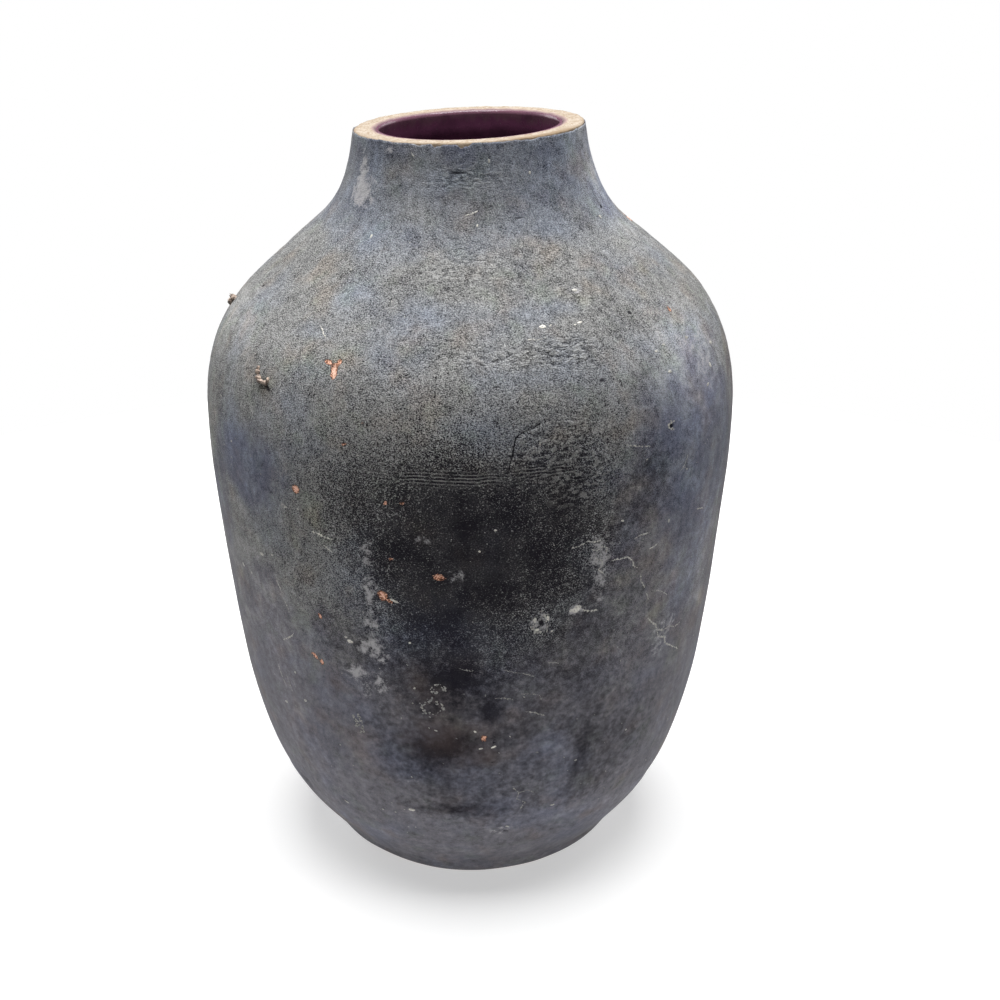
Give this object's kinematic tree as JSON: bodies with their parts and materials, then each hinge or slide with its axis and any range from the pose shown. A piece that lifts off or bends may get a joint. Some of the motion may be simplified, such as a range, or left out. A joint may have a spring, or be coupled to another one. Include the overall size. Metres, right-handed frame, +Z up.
{
  "type": "clay jar",
  "caption": "Tall thick-walled clay storage jar with a dark sandy coat, a narrow bare-lipped mouth and a glazed inside.",
  "frame": {"origin": "centre of the foot, on the surface that the jar stands on", "axes": "+Z up along the jar's axis, -Y towards the viewer, +X to the viewer's right, where the mouth is highest"},
  "size_m": [0.2594, 0.2594, 0.3721],
  "materials": {
    "clay": "fired pinkish clay, matte",
    "lip_clay": "bare cream clay, dry and matte",
    "joint_slip": "fired slip, matte",
    "coat": "dark grey sandy slip, worn and matte",
    "glaze": "brown-purple glaze, glossy",
    "sand": "fused beige sand, rough"
  },
  "bodies": {
    "root": {"base_slab": "clay", "lower_wall": "clay", "upper_wall": "clay", "rim_coil": "lip_clay", "base_lute": "joint_slip", "belly_lute": "joint_slip", "neck_lute": "joint_slip", "outer_slip": "coat", "inner_glaze": "glaze", "kiln_crumb_shoulder": "sand", "kiln_crumb_belly": "sand"}
  },
  "joints": []
}
